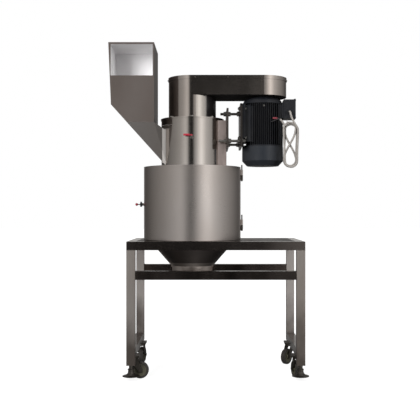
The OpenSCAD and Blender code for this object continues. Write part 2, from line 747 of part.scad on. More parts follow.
module fan_cowl() color(motor_grey) at_motor() difference() {
    rotate_extrude() polygon([[0, cowl_z], [98, cowl_z], [cowl_r, cowl_z + 30], [cowl_r, frame_z0 - 0.2],
        [cowl_r - 2.5, frame_z0 - 0.2], [cowl_r - 2.5, cowl_z + 31], [97, cowl_z + 2.5],
        [0, cowl_z + 2.5]]);
    for (a = [0:22.5:337.5]) rotate([0, 0, a]) translate([34, -4, cowl_z - 1]) cube([54, 8, 5]);
}

module terminal_box() color(motor_grey) at_motor() difference() {
    union() {
        translate([box_x0, -box_y, box_z0]) cube([box_x1 - box_x0, 2 * box_y, box_z1 - box_z0]);
        for (x = [box_x0 + 6:9:box_x1 - 6]) translate([x, -box_y - 2, box_z0 + 6])
            cube([3, 3, box_z1 - box_z0 - 12]);
    }
    translate([box_x0 + 4, -box_y + 5, box_z0 + 5])
        cube([box_x1 - box_x0, 2 * box_y - 10, box_z1 - box_z0 - 10]);
    translate([box_x0 - 1, -20, 1600]) cube([10, 40, 40]);
    y_cyl(15, -box_y - 3, -box_y, gland_x, gland_z);
    y_cyl(10 + bolt_gap, -box_y - 3, -box_y + 6, gland_x, gland_z);
}

module terminal_lid() color(motor_grey) at_motor() {
    translate([box_x1, -box_y - 4, box_z0 - 3]) cube([10, 2 * box_y + 8, box_z1 - box_z0 + 6]);
    for (y = [-box_y + 4, box_y - 4], z = [box_z0 + 6, box_z1 - 6]) x_cyl(4, box_x1 + 9, box_x1 + 12, y, z);
}

// Gland with its hexagon and a tapered dome, bored for the cord
module cable_gland() color(motor_grey) at_motor() translate([gland_x, -box_y, gland_z])
    rotate([90, 0, 0]) {
        difference() {
            union() {
                translate([0, 0, -5]) cylinder(r = 10, h = 6);
                cylinder(r = 14, h = 9, $fn = 6);
                translate([0, 0, 8]) cylinder(r = 12, h = 10);
                translate([0, 0, 17]) cylinder(r1 = 12, r2 = 9, h = 15);
            }
            translate([0, 0, -6]) cylinder(r = cord_r + 0.4, h = 50);
        }
    }

module motor_stator() color(dark_steel) at_motor() {
    ring(bore_r - seat_gap, 66, 1440, 160);
    for (z = [1412, 1600.2]) ring(90, 68, z, 27.6);
}

module motor_shaft() color(zinc) at_motor() {
    rotate_extrude() polygon([[0, 1300], [15, 1300], [15, 1368], [shaft_r, 1368], [shaft_r, 1425],
        [25, 1425], [25, 1640], [shaft_r, 1640], [shaft_r, 1685.5], [motor_shaft_r, 1685.5],
        [motor_shaft_r, 1783], [0, 1783]]);
    ring(65.3, 25 + seat_gap, 1440, 160);
}

module motor_fan() color(black) at_motor() difference() {
    union() {
        translate([0, 0, 1312]) cylinder(r = 26, h = 44);
        translate([0, 0, 1352]) cylinder(r = 108, h = 4);
        for (a = [0:45:315]) rotate([0, 0, a]) translate([20, -1.5, 1320]) cube([86, 3, 33]);
    }
    translate([0, 0, 1300]) cylinder(r = 15 + run, h = 70);
}

// ---------------------------------------------------------------- belt drive

// Multi-groove pulley on its shaft of radius bore
module pulley(r, bore) {
    z0 = pulley_z - pulley_h / 2;
    rotate_extrude() difference() {
        translate([bore + run, z0]) square([r - bore - run, pulley_h]);
        for (i = [0:belts - 1]) translate([r, belt_z(i)]) polygon([[-groove_depth, -groove_floor / 2],
            [1, -groove_top / 2], [1, groove_top / 2], [-groove_depth, groove_floor / 2]]);
    }
}
function belt_z(i) = pulley_z + (i - (belts - 1) / 2) * groove_pitch;

module drive_pulley() color(dark_steel) at_motor() pulley(drive_r, motor_shaft_r);
module driven_pulley() color(dark_steel) at_mill() pulley(driven_r, shaft_r);

// The outline of a belt face that lies depth below both pulleys' rims
module belt_outline(depth) {
    a = driven_r - depth;
    b = drive_r - depth;
    touch = acos((a - b) / drive_c);
    polygon(concat(
        [for (i = [0:24]) let(w = touch + i * (180 - touch) / 12) [a * cos(w), a * sin(w)]],
        [for (i = [0:32]) let(w = (i / 16 - 1) * touch) [drive_c + b * cos(w), b * sin(w)]]));
}
module v_belts() color(black) at_mill() for (i = [0:belts - 1])
    translate([0, 0, belt_z(i) - belt_w / 2]) linear_extrude(belt_w) difference() {
        belt_outline(belt_out);
        belt_outline(belt_in);
    }

// ---------------------------------------------------------------- cord

function unit(v) = v / norm(v);
// Direction of a route at point i
function heading(p, i) = unit(p[min(i + 1, len(p) - 1)] - p[max(i - 1, 0)]);

// A tube swept along the points p, with the radius r[i] at point i
module sweep(p, r, sides = 10) {
    side_ref = [0.2, 0.5, -0.84];
    rings = [for (i = [0:len(p) - 1]) let(d = heading(p, i), u = unit(cross(d, side_ref)), v = cross(d, u))
        for (k = [0:sides - 1]) p[i] + r[i] * (cos(360 * k / sides) * u + sin(360 * k / sides) * v)];
    skin = [for (i = [0:len(p) - 2], k = [0:sides - 1]) let(a = i * sides + k,
        b = i * sides + (k + 1) % sides) each [[a, b, b + sides], [a, b + sides, a + sides]]];
    first = [[for (k = [sides - 1:-1:0]) k]];
    last = [[for (k = [0:sides - 1]) (len(p) - 1) * sides + k]];
    polyhedron(rings, concat(skin, first, last), convexity = 4);
}

module cord_lead() color(cord_grey) sweep(lead_route, [for (p = lead_route) cord_r]);
module cord_hank() color(cord_grey) translate([hank_x, hank_y[1], 0]) rotate([90, 0, 0])
    linear_extrude(hank_y[1] - hank_y[0]) {
        for (z = [hank_z[0] + hank_half_w, hank_z[1] - hank_half_w])
            translate([0, z]) circle(r = hank_half_w);
        translate([-hank_half_w, hank_z[0] + hank_half_w])
            square([2 * hank_half_w, hank_z[1] - hank_z[0] - 2 * hank_half_w]);
    }
// Free end with its stripped cores and the sleeve on them
module cord_tail() color(cord_grey) sweep(tail_route, tail_radii);

// ---------------------------------------------------------------- parts

legs();
top_rails();
lower_rails();
deck_plate();
castor_plates();
castor_fork_fl();
castor_fork_fr();
castor_fork_rl();
castor_fork_rr();
castor_wheel_fl();
castor_wheel_fr();
castor_wheel_rl();
castor_wheel_rr();
foot_left();
foot_right();
discharge_cone();
drum_top_plate();
drum_rear_shell();
drum_door();
door_hinges();
latch_spindle();
latch_star_knob();
latch_ball();
screen_basket();
feed_chamber();
chamber_cover();
hex_bolts();
neck_cover();
hopper();
chute();
valve_body();
valve_lever();
guard_body();
guard_lid();
guard_screws();
mount_weldment();  // motor_bracket
tension_rods();
motor_plate();
motor_frame();
motor_end_shields();
fan_cowl();
terminal_box();
terminal_lid();
cable_gland();
motor_stator();
motor_shaft();
motor_fan();
drive_pulley();
v_belts();
driven_pulley();
mill_shaft();
bearing_tube();
bearings();
rotor_body();
hammers_a();
hammers_b();
hammers_c();
cord_lead();
cord_hank();
cord_tail();
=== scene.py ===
"""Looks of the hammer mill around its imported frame. Metres, in the frame of the CAD model."""
import math

import bpy
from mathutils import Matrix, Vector


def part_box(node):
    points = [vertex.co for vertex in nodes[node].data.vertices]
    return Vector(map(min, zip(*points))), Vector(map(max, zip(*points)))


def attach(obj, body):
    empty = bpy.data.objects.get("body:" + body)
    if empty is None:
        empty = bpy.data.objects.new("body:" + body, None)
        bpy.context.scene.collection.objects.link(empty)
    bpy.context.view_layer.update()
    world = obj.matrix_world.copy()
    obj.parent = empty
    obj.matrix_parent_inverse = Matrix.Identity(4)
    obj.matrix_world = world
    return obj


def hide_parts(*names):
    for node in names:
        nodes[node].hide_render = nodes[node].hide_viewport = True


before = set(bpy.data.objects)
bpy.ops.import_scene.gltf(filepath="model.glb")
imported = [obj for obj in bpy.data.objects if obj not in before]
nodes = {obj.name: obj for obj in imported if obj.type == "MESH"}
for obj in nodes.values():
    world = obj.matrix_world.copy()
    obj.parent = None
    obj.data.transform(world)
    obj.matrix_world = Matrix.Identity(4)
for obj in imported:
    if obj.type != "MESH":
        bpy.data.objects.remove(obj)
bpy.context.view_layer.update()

MM = 0.001

# ---------------------------------------------------------------- camera

IMAGE_SIDE = 420
FOCAL_LENGTH = 66.9
FILM_WIDTH = 36
EYE = (0.022, -4.8475, 0.985)


def place_camera():
    """A level camera in front of the machine, shifted by a pixel or two."""
    data = bpy.data.cameras.new("camera")
    data.lens = FOCAL_LENGTH
    data.sensor_width = FILM_WIDTH
    data.shift_x = -1 / IMAGE_SIDE
    data.shift_y = 2 / IMAGE_SIDE
    camera = bpy.data.objects.new("camera", data)
    camera.location = EYE
    camera.rotation_euler = (math.radians(90), 0, 0)
    bpy.context.scene.collection.objects.link(camera)
    bpy.context.scene.camera = camera


place_camera()

# ---------------------------------------------------------------- geometry helpers


def in_metres(points):
    return [Vector(p) * MM for p in points]


def middle_of(node):
    low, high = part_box(node)
    return (low + high) / 2


def smooth_line(points, steps):
    """A Catmull-Rom line through the points."""
    line = []
    last = len(points) - 1
    for i in range(last):
        before, a, b, after = (points[max(i - 1, 0)], points[i], points[i + 1],
                               points[min(i + 2, last)])
        for k in range(steps):
            t = k / steps
            line.append(0.5 * (2 * a + (b - before) * t
                               + (2 * before - 5 * a + 4 * b - after) * t ** 2
                               + (3 * a - before - 3 * b + after) * t ** 3))
    return line + [points[-1]]


def ring_angles(sides):
    return [2 * math.pi * k / sides for k in range(sides)]


def new_piece(name, data, body, materials):
    piece = bpy.data.objects.new(name, data)
    bpy.context.scene.collection.objects.link(piece)
    for material in materials:
        data.materials.append(material)
    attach(piece, body)
    return piece


class Shape:
    """Vertices and faces gathered for one mesh."""

    def __init__(self):
        self.verts, self.faces = [], []

    def mesh(self, name):
        data = bpy.data.meshes.new(name)
        data.from_pydata([tuple(v) for v in self.verts], [], self.faces)
        data.update()
        for polygon in data.polygons:
            polygon.use_smooth = True
        return data

    def loft(self, rings):
        """Joins closed rings of equal count, and closes both ends."""
        start, count = len(self.verts), len(rings[0])
        for ring in rings:
            self.verts.extend(ring)
        for i in range(len(rings) - 1):
            for k in range(count):
                a, b = start + i * count + k, start + i * count + (k + 1) % count
                self.faces.append((a, b, b + count, a + count))
        self.faces.append(tuple(start + k for k in reversed(range(count))))
        top = start + (len(rings) - 1) * count
        self.faces.append(tuple(top + k for k in range(count)))

    def tube(self, line, radius, sides=10):
        """A round tube along a line. radius is a number or a function of the distance run."""
        along, run, side = 0.0, [], None
        for i, point in enumerate(line):
            if i:
                along += (point - line[i - 1]).length
            heading = (line[min(i + 1, len(line) - 1)] - line[max(i - 1, 0)]).normalized()
            if side is None:
                side = heading.orthogonal().normalized()
            side = (side - heading * side.dot(heading)).normalized()
            across = heading.cross(side)
            r = radius(along) if callable(radius) else radius
            run.append([point + r * (math.cos(a) * side + math.sin(a) * across)
                        for a in ring_angles(sides)])
        self.loft(run)

    def turned(self, profile, centre, axis, sides):
        """A profile of (radius, height) pairs turned about an axis through centre."""
        axis = Vector(axis).normalized()
        u = axis.orthogonal().normalized()
        v = axis.cross(u)
        self.loft([[Vector(centre) + axis * h + r * (math.cos(a) * u + math.sin(a) * v)
                    for a in ring_angles(sides)] for r, h in profile])


# ---------------------------------------------------------------- material helpers


def add_node(tree, kind, **settings):
    node = tree.nodes.new(kind)
    for key, value in settings.items():
        setattr(node, key, value)
    return node


class Nodes:
    """Short names for building a material's node tree."""

    def __init__(self, name):
        self.material = bpy.data.materials.new(name)
        self.material.use_nodes = True
        self.tree = self.material.node_tree
        self.shader = self.tree.nodes["Principled BSDF"]
        self.position = self.add("ShaderNodeTexCoord").outputs["Object"]

    def add(self, kind, **settings):
        return add_node(self.tree, kind, **settings)

    def link(self, source, target):
        self.tree.links.new(source, target)

    def feed(self, name, source):
        """Links a socket to one of the shader's inputs, in place of what fed it."""
        self.link(source, self.shader.inputs[name])

    def fed_by(self, name):
        """The socket that feeds one of the shader's inputs so far."""
        return self.shader.inputs[name].links[0].from_socket

    def set(self, **values):
        for key, value in values.items():
            self.shader.inputs[key.replace("_", " ")].default_value = value

    def axis(self, vector, name):
        """The X, Y or Z of a vector."""
        parts = self.add("ShaderNodeSeparateXYZ")
        self.link(vector, parts.inputs[0])
        return parts.outputs[name]

    def place(self, name):
        """The point's place along X, Y or Z."""
        return self.axis(self.position, name)

    def normal(self):
        return self.add("ShaderNodeNewGeometry").outputs["True Normal"]

    def facing(self, name):
        """How far the face looks along X, Y or Z, from -1 to 1."""
        return self.axis(self.normal(), name)

    def looks_away_from(self, centre):
        """Above zero where the face looks away from a point, and below where it looks towards it."""
        outward = self.add("ShaderNodeVectorMath", operation="SUBTRACT")
        self.link(self.position, outward.inputs[0])
        outward.inputs[1].default_value = centre
        product = self.add("ShaderNodeVectorMath", operation="DOT_PRODUCT")
        self.link(self.normal(), product.inputs[0])
        self.link(outward.outputs["Vector"], product.inputs[1])
        return product.outputs["Value"]

    def noise(self, scale, stretch=(1, 1, 1), detail=4.0, roughness=0.55):
        """Noise over the object's own coordinates, with its grain stretched."""
        mapping = self.add("ShaderNodeMapping")
        mapping.inputs["Scale"].default_value = stretch
        self.link(self.position, mapping.inputs["Vector"])
        noise = self.add("ShaderNodeTexNoise")
        noise.inputs["Scale"].default_value = scale
        noise.inputs["Detail"].default_value = detail
        noise.inputs["Roughness"].default_value = roughness
        self.link(mapping.outputs["Vector"], noise.inputs["Vector"])
        return noise.outputs["Fac"]

    def spread(self, source, low, high, from_low=0.3, from_high=0.7):
        """A value mapped onto another range, held at its ends."""
        node = self.add("ShaderNodeMapRange")
        for key, value in (("From Min", from_low), ("From Max", from_high),
                           ("To Min", low), ("To Max", high)):
            node.inputs[key].default_value = value
        self.link(source, node.inputs["Value"])
        return node.outputs["Result"]

    def math(self, operation, a, b):
        """A sum, a maximum or a comparison of two values, each a number or a socket."""
        node = self.add("ShaderNodeMath", operation=operation)
        for socket, value in zip(node.inputs, (a, b)):
            if isinstance(value, (int, float)):
                socket.default_value = value
            else:
                self.link(value, socket)
        return node.outputs[0]

    def mix(self, factor, a, b):
        """Mixes two colours, each given as RGB or as a socket."""
        node = self.add("ShaderNodeMix", data_type="RGBA")
        self.link(factor, node.inputs[0])
        for socket, value in ((node.inputs[6], a), (node.inputs[7], b)):
            if isinstance(value, tuple):
                socket.default_value = (*value, 1)
            else:
                self.link(value, socket)
        return node.outputs[2]

    def bump(self, height, strength, distance):
        node = self.add("ShaderNodeBump")
        node.inputs["Strength"].default_value = strength
        node.inputs["Distance"].default_value = distance
        self.link(height, node.inputs["Height"])
        self.link(node.outputs["Normal"], self.shader.inputs["Normal"])


def brushed(name, color, roughness, grain, soil, aniso, marks=0.5):
    """Brushed stainless sheet: fine grain, cloudy wipe marks and dust in broad patches."""
    n = Nodes(name)
    fine = n.noise(1100, grain, 3)
    cloud = n.noise(2.6, (1, 1, 0.5), 4, 0.5)
    wipes = n.noise(7, (1, 1, 0.3), 4, 0.5)
    dull = tuple(c * (1 - soil) * w for c, w in zip(color, (1.0, 0.95, 0.9)))
    toned = n.mix(n.spread(cloud, 0, 1, 0.35, 0.72), color, dull)
    bright = tuple(min(1, c * 1.12) for c in color)
    n.feed("Base Color", n.mix(n.spread(fine, 0, 0.3, 0.4, 0.75), toned, bright))
    n.feed("Roughness", n.math("ADD", n.spread(wipes, -0.05 * marks, 0.08 * marks),
                               n.spread(fine, roughness - 0.02, roughness + 0.03)))
    n.set(Metallic=1.0, Anisotropic=aniso)
    n.bump(fine, 0.1, 0.00008)
    return n


def plated(name, color, roughness):
    """Zinc plated or machined steel with handling marks."""
    n = Nodes(name)
    spots = n.noise(45, detail=6, roughness=0.65)
    broad = n.noise(7, detail=3)
    dark = tuple(c * 0.62 for c in color)
    n.feed("Base Color", n.mix(n.spread(broad, 0, 0.8, 0.38, 0.7), color, dark))
    n.feed("Roughness", n.spread(spots, roughness - 0.08, roughness + 0.18))
    n.set(Metallic=1.0)
    n.bump(spots, 0.2, 0.0005)
    return n.material


def painted(name, color, roughness, peel):
    """Cast part under enamel: orange peel, dust in patches and rubbed places."""
    n = Nodes(name)
    skin = n.noise(220, detail=3)
    dust_and_shade_noise = n.noise(6, (1, 1, 0.7), 6, 0.65)
    dusty = tuple(0.8 * c + 0.016 * w for c, w in zip(color, (1.0, 0.96, 0.9)))
    n.feed("Base Color", n.mix(n.spread(dust_and_shade_noise, 0, 1, 0.42, 0.75), color, dusty))
    n.feed("Roughness", n.spread(dust_and_shade_noise, roughness - 0.06, roughness + 0.16))
    n.set(Specular_IOR_Level=0.38)
    n.bump(skin, peel, 0.0003)
    return n.material


def moulded(name, color, roughness, skin_scale=400, skin=0.15):
    """Moulded plastic or rubber with a fine skin and faint mottling."""
    n = Nodes(name)
    fine = n.noise(skin_scale, detail=3)
    broad = n.noise(14, detail=5)
    worn = tuple(0.8 * c + 0.03 for c in color)
    n.feed("Base Color", n.mix(n.spread(broad, 0, 0.8), color, worn))
    n.feed("Roughness", n.spread(broad, roughness - 0.05, roughness + 0.12))
    n.bump(fine, skin, 0.0003)
    return n.material


# ---------------------------------------------------------------- materials

# How far the brushed grain is stretched along each axis: the smallest number is its direction
UPRIGHT_GRAIN = (1, 1, 0.02)
SHEET_GRAIN = (1, 1, 0.05)
LEVEL_GRAIN = (0.02, 0.02, 1)
RAIL_GRAIN = (0.02, 1, 1)
PLATE_GRAIN = (1, 0.05, 1)

drum_steel = brushed("drum_steel", (0.665, 0.615, 0.59), roughness=0.30, grain=LEVEL_GRAIN,
                     soil=0.12, aniso=0.45).material
chamber_steel = brushed("chamber_steel", (0.60, 0.565, 0.54), roughness=0.13, grain=LEVEL_GRAIN,
                        soil=0.18, aniso=0.4).material
rail_steel = brushed("rail_steel", (0.42, 0.37, 0.35), roughness=0.12, grain=RAIL_GRAIN,
                     soil=0.45, aniso=0.1).material
low_rail_steel = brushed("low_rail_steel", (0.24, 0.205, 0.19), roughness=0.16, grain=RAIL_GRAIN,
                         soil=0.6, aniso=0.1, marks=1.5).material
plate_steel = brushed("plate_steel", (0.14, 0.125, 0.12), roughness=0.34, grain=PLATE_GRAIN,
                      soil=0.3, aniso=0.2).material
deck_steel = brushed("deck_steel", (0.105, 0.095, 0.09), roughness=0.40, grain=RAIL_GRAIN,
                     soil=0.5, aniso=0.1, marks=1.5).material
weld_steel = plated("weld_steel", (0.50, 0.46, 0.42), roughness=0.4)
zinc = plated("zinc_plating", (0.46, 0.445, 0.42), roughness=0.34)
castor_zinc = plated("dull_zinc_plating", (0.17, 0.155, 0.14), roughness=0.42)
bare_steel = plated("machined_steel", (0.50, 0.50, 0.50), roughness=0.3)
motor_paint = painted("motor_paint", (0.008, 0.009, 0.012), roughness=0.42, peel=0.25)
cowl_paint = painted("cowl_paint", (0.0165, 0.019, 0.0235), roughness=0.38, peel=0.2)
black_plastic = moulded("black_plastic", (0.018, 0.018, 0.020), roughness=0.38)
red_plastic = moulded("red_plastic", (0.27, 0.016, 0.030), roughness=0.34)
belt_rubber = moulded("belt_rubber", (0.022, 0.022, 0.022), roughness=0.7)
sheath = moulded("cord_sheath", (0.25, 0.232, 0.215), roughness=0.55, skin_scale=260, skin=0.04)
dark_core = moulded("dark_core", (0.03, 0.025, 0.028), roughness=0.45)
sleeve_red = moulded("sleeve_red", (0.17, 0.022, 0.032), roughness=0.45)


def hopper_sheet():
    """Dull brown-grey outside, with painted shade darkening the faces that look to the right, and a
    near-white, barely metallic lining inside its walls that paints in the light bouncing round
    inside.
    """
    n = brushed("hopper_sheet", (0.455, 0.40, 0.38), 0.48, SHEET_GRAIN, soil=0.25, aniso=0.2)
    inside = n.math("LESS_THAN", n.looks_away_from(middle_of("hopper")), 0.0)
    # Painted shade: faces that look to the right are darkened.
    shaded_right_side = n.math("GREATER_THAN", n.facing("X"), 0.7)
    outer = n.mix(shaded_right_side, n.fed_by("Base Color"), (0.20, 0.18, 0.17))
    inner_mottle = n.noise(5, detail=5)
    # Painted light: the inside walls get a near-white colour for the light that bounces round inside.
    inner_painted_light = n.mix(n.spread(inner_mottle, 0, 1), (0.92, 0.91, 0.92), (0.84, 0.83, 0.83))
    n.feed("Base Color", n.mix(inside, outer, inner_painted_light))
    n.feed("Metallic", n.spread(inside, 1.0, 0.12, 0, 1))
    return n.material


def guard_sheet():
    """Polished guard, with painted shade on its underside: faces that look down are made near black,
    rough and not metallic.
    """
    n = brushed("guard_steel", (0.63, 0.58, 0.55), 0.12, LEVEL_GRAIN, soil=0.22, aniso=0.3)
    # Painted shade: downward faces turn almost black, with a faint mottle.
    shaded_underside = n.math("LESS_THAN", n.facing("Z"), -0.7)
    dust_and_shade_noise = n.noise(9, detail=5)
    underside_shade = n.mix(n.spread(dust_and_shade_noise, 0, 1), (0.006, 0.005, 0.005), (0.014, 0.012, 0.011))
    n.feed("Base Color", n.mix(shaded_underside, n.fed_by("Base Color"), underside_shade))
    n.feed("Metallic", n.spread(shaded_underside, 1.0, 0.0, 0, 1))
    n.feed("Roughness", n.math("MAXIMUM", n.fed_by("Roughness"), shaded_underside))
    return n.material


def chute_sheet():
    """Dull grey chute, with painted light on the strip next to the chamber, which is made paler as if
    lit.
    """
    collar_reach = 12 * MM
    n = brushed("chute_steel", (0.105, 0.098, 0.094), 0.60, SHEET_GRAIN, soil=0.15, aniso=0.0)
    n.set(Metallic=0.3)
    # Painted light: the part of the chute within reach of the chamber is made paler.
    lit_collar = n.math("GREATER_THAN", n.place("X"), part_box("feed_chamber")[0].x + collar_reach)
    n.feed("Base Color", n.mix(lit_collar, n.fed_by("Base Color"), (0.42, 0.40, 0.385)))
    return n.material


def bracket_sheet():
    """A pale dull box, and the dark plate that carries the tension rods."""
    plate_reach = 14 * MM
    n = brushed("bracket_steel", (0.24, 0.215, 0.205), 0.34, PLATE_GRAIN, soil=0.3, aniso=0.2)
    box = n.math("LESS_THAN", n.place("X"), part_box("motor_bracket")[1].x - plate_reach)
    stains = n.noise(14, (1, 1, 0.5), 6, 0.65)
    pale = n.mix(n.spread(stains, 0, 1), (0.26, 0.215, 0.20), (0.15, 0.125, 0.115))
    n.feed("Base Color", n.mix(box, n.fed_by("Base Color"), pale))
    n.feed("Metallic", n.spread(box, 1.0, 0.25, 0, 1))
    return n.material


def cone_sheet():
    """Dark soiled cone, with the outlet ring below it rubbed bright."""
    ring_height = 85 * MM
    n = brushed("cone_steel", (0.22, 0.19, 0.18), 0.32, LEVEL_GRAIN, soil=0.35, aniso=0.3)
    rubbed = n.math("LESS_THAN", n.place("Z"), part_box("discharge_cone")[0].z + ring_height)
    n.feed("Base Color", n.mix(rubbed, n.fed_by("Base Color"), (0.60, 0.53, 0.49)))
    return n.material


def neck_sheet():
    """Polished neck cover, near black on the side that it turns to the motor: partly standing in for
    the black bearing housing behind it, and partly painted shade on that side.
    """
    n = brushed("neck_steel", (0.64, 0.61, 0.58), 0.17, LEVEL_GRAIN, soil=0.18, aniso=0.45)
    # Partly painted shade: faces that look towards the motor turn near black, also standing in for
    # the black housing behind the cover.
    dark_housing_and_shade = n.spread(n.facing("X"), 0, 1, 0.52, 0.62)
    n.feed("Base Color", n.mix(dark_housing_and_shade, n.fed_by("Base Color"), (0.012, 0.011, 0.011)))
    n.feed("Metallic", n.spread(dark_housing_and_shade, 1.0, 0.1, 0, 1))
    return n.material


def leg_tube():
    """Dull tube, with painted light making the rear legs paler than the front ones, and darker in
    clouds towards its lower end.
    """
    n = brushed("leg_steel", (0.74, 0.69, 0.66), 0.50, UPRIGHT_GRAIN, soil=0.2, aniso=0.2)
    # Painted light: everything behind the middle is given a paler, lit tone.
    lit_rear = n.math("GREATER_THAN", n.place("Y"), 0.0)
    lit_rear_tone = n.mix(lit_rear, n.fed_by("Base Color"), (0.97, 0.91, 0.88))
    # Darker towards the lower end, in uneven clouds.
    clouds = n.noise(4, (1, 1, 0.6), 5)
    height = n.math("ADD", n.place("Z"), n.spread(clouds, -0.15, 0.15))
    n.feed("Base Color", n.mix(n.spread(height, 0.95, 0.0, 0.16, 0.42), lit_rear_tone, (0.23, 0.195, 0.175)))
    return n.material


def wheel_rubber(node):
    """Black tread on a dark olive hub, parted by the distance from the wheel's centre."""
    hub_radius = 38.5 * MM
    n = Nodes(node + "_rubber")
    distance = n.add("ShaderNodeVectorMath", operation="DISTANCE")
    n.link(n.position, distance.inputs[0])
    distance.inputs[1].default_value = middle_of(node)
    tread = n.math("GREATER_THAN", distance.outputs["Value"], hub_radius)
    grime = n.noise(30, detail=6, roughness=0.7)
    hub = n.mix(n.spread(grime, 0, 1), (0.045, 0.045, 0.030), (0.080, 0.075, 0.055))
    tyre = n.mix(n.spread(grime, 0, 1), (0.012, 0.012, 0.012), (0.045, 0.040, 0.035))
    n.feed("Base Color", n.mix(tread, hub, tyre))
    n.feed("Roughness", n.spread(grime, 0.45, 0.8))
    n.bump(grime, 0.35, 0.0006)
    return n.material


leg_steel = leg_tube()
FINISHES = (
    (drum_steel, ("drum_rear_shell", "drum_door", "drum_top_plate")),
    (chamber_steel, ("feed_chamber", "chamber_cover", "screen_basket")),
    (neck_sheet(), ("neck_cover",)),
    (guard_sheet(), ("guard_body", "guard_lid")),
    (hopper_sheet(), ("hopper",)),
    (bracket_sheet(), ("motor_bracket",)),
    (plate_steel, ("motor_plate",)),
    (deck_steel, ("deck_plate",)),
    (chute_sheet(), ("chute",)),
    (rail_steel, ("top_rails",)),
    (low_rail_steel, ("lower_rails",)),
    (leg_steel, ("legs",)),
    (cone_sheet(), ("discharge_cone",)),
    (zinc, ("hex_bolts", "tension_rods", "valve_body", "latch_spindle")),
    (castor_zinc, ("castor_plates", "castor_fork_fl", "castor_fork_fr", "castor_fork_rl",
                   "castor_fork_rr", "foot_left", "foot_right", "door_hinges", "guard_screws")),
    (bare_steel, ("mill_shaft", "rotor_body", "hammers_a", "hammers_b", "hammers_c",
                  "bearing_tube", "bearings", "motor_shaft", "motor_stator",
                  "driven_pulley", "drive_pulley")),
    (motor_paint, ("motor_frame", "motor_end_shields", "terminal_box", "terminal_lid")),
    (cowl_paint, ("fan_cowl",)),
    (black_plastic, ("latch_star_knob", "motor_fan", "cable_gland")),
    (red_plastic, ("latch_ball", "valve_lever")),
    (belt_rubber, ("v_belts",)),
)
finish_of = {name: material for material, names in FINISHES for name in names}
for name in ("castor_wheel_fl", "castor_wheel_fr", "castor_wheel_rl", "castor_wheel_rr"):
    finish_of[name] = wheel_rubber(name)
for name, material in finish_of.items():
    for material_slot in nodes[name].material_slots:
        material_slot.material = material

# ---------------------------------------------------------------- cord

CORD_RADIUS = 6 * MM
# The route, in millimetres: out of the gland, into the hank, and up to the stripped end
LEAD = [(502, -79.5, 1598), (502, -97, 1597), (503, -119, 1588), (505, -136, 1570),
        (511, -144, 1548), (521, -147, 1527), (534, -147, 1507), (545, -146, 1487)]
INTO_HANK = [(546, -146.5, 1455), (544, -146.5, 1400), (542, -146.5, 1345)]
# The hank's folds, lower and upper in turn: the centre in X and Z, and the side it is entered from
FOLDS = [(505, 1293, 1), (497, 1488, -1), (499, 1300, -1), (505, 1478, 1), (501, 1296, 1)]
FOLD_RADIUS = 36.5
FOLD_STEPS = 6
HANK_FRONT, HANK_REAR = -146.5, -117.5
OUT_OF_HANK = [(466, -117.3, 1340), (468, -117, 1400), (471, -117, 1450)]
TAIL = [(472, -117, 1478), (470, -117, 1500), (463, -117, 1519), (453, -117, 1535),
        (441, -117, 1547)]


def hank_points():
    """The hank's turns. Two of the strands between the folds cross over in the middle."""
    flat = []
    for i, (x, z, side) in enumerate(FOLDS):
        bulge = -1 if i % 2 == 0 else 1
        for k in range(FOLD_STEPS + 1):
            a = math.radians(180 * k / FOLD_STEPS)
            flat.append((x + side * FOLD_RADIUS * math.cos(a), z + bulge * FOLD_RADIUS * math.sin(a)))
        if i + 1 < len(FOLDS):
            next_x, next_z, next_side = FOLDS[i + 1]
            start, end = x - side * FOLD_RADIUS, next_x + next_side * FOLD_RADIUS
            for t in (0.2, 0.4, 0.6, 0.8):
                flat.append((start + (end - start) * t * t * (3 - 2 * t), z + (next_z - z) * t))
    step = (HANK_REAR - HANK_FRONT) / (len(flat) - 1)
    return [(x, HANK_FRONT + step * i, z) for i, (x, z) in enumerate(flat)]


def cord_curve(line):
    data = bpy.data.curves.new("power_cord", "CURVE")
    data.dimensions = "3D"
    data.bevel_depth = CORD_RADIUS
    data.bevel_resolution = 5
    data.use_fill_caps = True
    spline = data.splines.new("POLY")
    spline.points.add(len(line) - 1)
    for point, place in zip(spline.points, line):
        point.co = (*place, 1)
    spline.use_smooth = True
    return data


cord_line = smooth_line(in_metres(LEAD + INTO_HANK + hank_points() + OUT_OF_HANK + TAIL), 5)
cord = new_piece("power_cord", cord_curve(cord_line), "machine", [sheath])
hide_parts("cord_lead", "cord_hank", "cord_tail")


def stripped_cores():
    """Two dark cores in a red sleeve, and a third below them."""
    shape = Shape()
    for offset in (-2.3, 2.3):
        shape.tube(smooth_line(in_metres([
            (443, -117 + offset, 1545.5), (437, -117 + offset, 1549.5),
            (430, -117 + offset, 1552.5), (421, -117 + offset * 0.8, 1554)]), 4), 2.1 * MM)
    shape.tube(smooth_line(in_metres([
        (443, -117, 1544), (434, -119, 1548), (424, -121, 1547), (412, -121.5, 1542),
        (399, -121, 1536)]), 5), 2.0 * MM)
    return shape


def twisted_tip():
    """The third core's bare strands, as a tube with the ripple of their twist."""
    twist = 0.7 * MM
    shape = Shape()
    shape.tube(smooth_line(in_metres([(400, -121, 1536.5), (392, -120.7, 1533.5),
                                      (385, -120.5, 1532)]), 4),
               lambda s: (1.35 + 0.18 * math.sin(s / twist)) * MM, 8)
    return shape


def sleeve():
    """A soft sleeve with a crease, narrower at both ends."""
    start, end = in_metres([(424, -117, 1553.6), (396, -117, 1554)])
    profile = ((3.0, 0), (4.9, 0.6), (5.6, 3), (5.8, 10), (5.3, 12), (5.8, 14), (5.6, 24),
               (4.6, 27), (2.0, 28))
    shape = Shape()
    shape.turned([(r * MM, h * MM) for r, h in profile], start, end - start, 20)
    return shape


